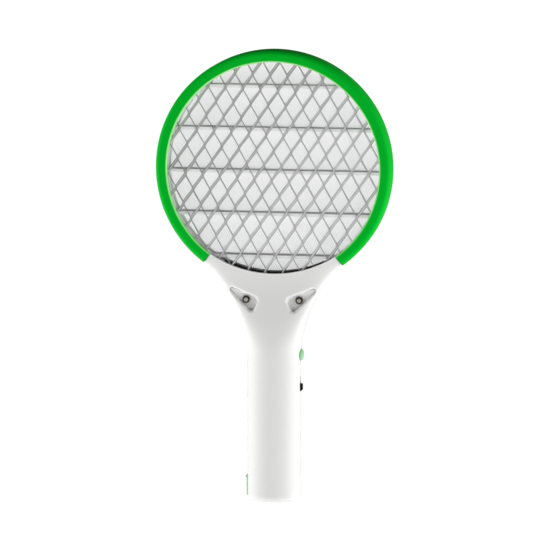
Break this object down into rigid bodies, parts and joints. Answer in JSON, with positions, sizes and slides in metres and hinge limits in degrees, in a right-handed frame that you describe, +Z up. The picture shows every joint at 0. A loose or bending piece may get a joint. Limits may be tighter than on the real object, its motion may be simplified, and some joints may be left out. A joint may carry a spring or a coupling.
{
  "type": "electric bug zapper",
  "caption": "Handheld racket bug zapper: round netted head, oval handle with push button, sliding power switch and charging flap.",
  "frame": {"origin": "centre of the flat base at the lower end of the handle", "axes": "+Z up the handle to the head, -Y out of the side with the screws, +X out of the side with the button and switch"},
  "size_m": [0.1826, 0.032, 0.3503],
  "materials": {
    "white_plastic": "white injection-moulded ABS, satin gloss",
    "green_plastic": "vivid green injection-moulded ABS, glossy",
    "rib_plastic": "pale grey moulded plastic, matt",
    "net_steel": "expanded steel sheet, dull plating",
    "inner_mesh": "fine bright wire mesh",
    "screw_steel": "dark plated steel",
    "black_plastic": "black moulded plastic",
    "green_rubber": "soft pale green rubber",
    "tin": "tin-plated steel",
    "board": "green solder mask on fibreglass",
    "cell_can": "metal can in a blue shrink sleeve",
    "ferrite": "dark grey ferrite, matt",
    "winding_tape": "yellow polyester tape over copper wire",
    "film_red": "dark red dipped epoxy",
    "resistor_body": "tan lacquer",
    "led_lens": "clear red epoxy",
    "red_insulation": "red PVC sleeve",
    "black_insulation": "black PVC sleeve",
    "white_insulation": "white PVC sleeve"
  },
  "bodies": {
    "housing": {"rear_shell": "white_plastic", "front_shell": "white_plastic", "front_ring": "green_plastic", "rear_ring": "green_plastic", "front_spacer": "rib_plastic", "rear_spacer": "rib_plastic", "front_insulator": "black_plastic", "rear_insulator": "black_plastic", "rear_net": "net_steel", "front_net": "net_steel", "inner_net": "inner_mesh", "neck_screw_left": "screw_steel", "neck_screw_right": "screw_steel", "charging_socket": "tin", "socket_board": "board", "battery_cell": "cell_can", "cell_tab_plus": "tin", "cell_tab_minus": "tin", "circuit_board": "board", "board_screw_1": "screw_steel", "board_screw_2": "screw_steel", "tact_switch": "black_plastic", "power_switch_can": "tin", "transformer_core": "ferrite", "transformer_winding": "winding_tape", "film_capacitor_1": "film_red", "film_capacitor_2": "film_red", "diode_1": "black_plastic", "diode_2": "black_plastic", "transistor": "black_plastic", "resistor_1": "resistor_body", "resistor_2": "resistor_body", "indicator_led": "led_lens", "cell_lead_red": "red_insulation", "cell_lead_black": "black_insulation", "charge_lead_red": "red_insulation", "charge_lead_black": "black_insulation", "grid_lead_high": "red_insulation", "grid_lead_rear": "white_insulation", "grid_lead_front": "white_insulation"},
    "button": {"zap_button": "green_plastic"},
    "knob": {"power_knob": "black_plastic"},
    "flap": {"socket_flap": "green_rubber"}
  },
  "joints": [
    {"name": "button_press", "type": "slide", "parent": "housing", "child": "button", "axis": [-1, 0, 0], "range_m": [0, 0.0016], "stiffness_N_per_m": 500, "springref_m": -0.001},
    {"name": "power_slide", "type": "slide", "parent": "housing", "child": "knob", "axis": [0, 0, 1], "range_m": [0, 0.006]},
    {"name": "flap_hinge", "type": "hinge", "parent": "housing", "child": "flap", "pos_m": [-0.0209, 0, 0.0186], "axis": [0, 1, 0], "range_deg": [0, 100]}
  ]
}
